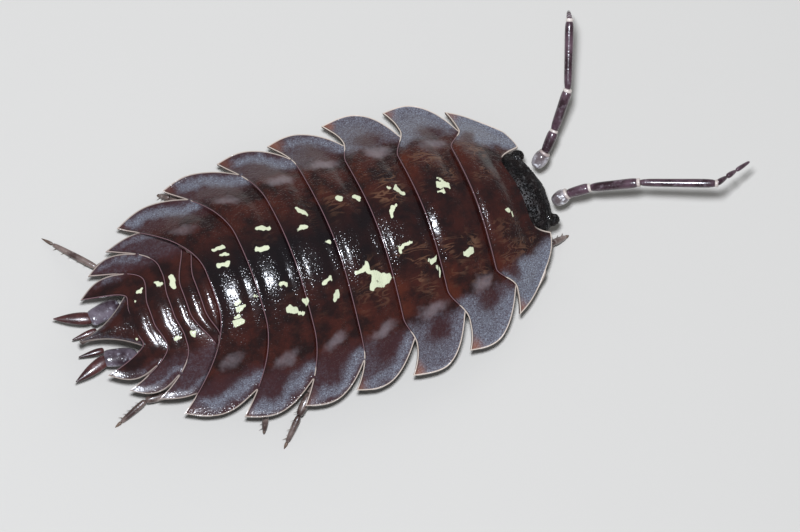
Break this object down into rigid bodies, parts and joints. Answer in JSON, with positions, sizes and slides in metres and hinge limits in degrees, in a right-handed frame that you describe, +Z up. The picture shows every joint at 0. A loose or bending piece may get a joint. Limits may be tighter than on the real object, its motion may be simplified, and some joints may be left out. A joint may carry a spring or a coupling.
{
  "type": "woodlouse",
  "caption": "Still life-size model of a common shiny woodlouse standing on its legs, antennae spread, with overlapping shell plates on a domed back.",
  "frame": {"origin": "middle of the footprint, on the floor that the feet stand on", "axes": "+X from the tail to the head, +Y to the animal's left, +Z up"},
  "size_m": [0.0228, 0.0104, 0.0036],
  "materials": {
    "shell": "glossy dark maroon cuticle with pale translucent side margins",
    "head": "black granular cuticle",
    "eye": "black glossy facets",
    "antenna": "glossy purple-brown cuticle with pale joints",
    "leg": "translucent greyish cuticle",
    "underside": "pale greyish membrane"
  },
  "bodies": {
    "root": {"head": "head", "mouthparts": "underside", "eye_left": "eye", "eye_right": "eye", "pereonite_1": "shell", "pereonite_2": "shell", "pereonite_3": "shell", "pereonite_4": "shell", "pereonite_5": "shell", "pereonite_6": "shell", "pereonite_7": "shell", "pleon": "shell", "telson": "shell", "uropod_left_protopod": "shell", "uropod_left_exopod": "shell", "uropod_left_endopod": "leg", "uropod_right_protopod": "shell", "uropod_right_exopod": "shell", "uropod_right_endopod": "leg", "antenna_left_base": "antenna", "antenna_left_article_3": "antenna", "antenna_left_article_4": "antenna", "antenna_left_article_5": "antenna", "antenna_left_flagellum": "antenna", "antenna_right_base": "antenna", "antenna_right_article_3": "antenna", "antenna_right_article_4": "antenna", "antenna_right_article_5": "antenna", "antenna_right_flagellum": "antenna", "leg_left_1": "leg", "leg_left_2": "leg", "leg_left_3": "leg", "leg_left_4": "leg", "leg_left_5": "leg", "leg_left_6": "leg", "leg_left_7": "leg", "leg_right_1": "leg", "leg_right_2": "leg", "leg_right_3": "leg", "leg_right_4": "leg", "leg_right_5": "leg", "leg_right_6": "leg", "leg_right_7": "leg"}
  },
  "joints": []
}
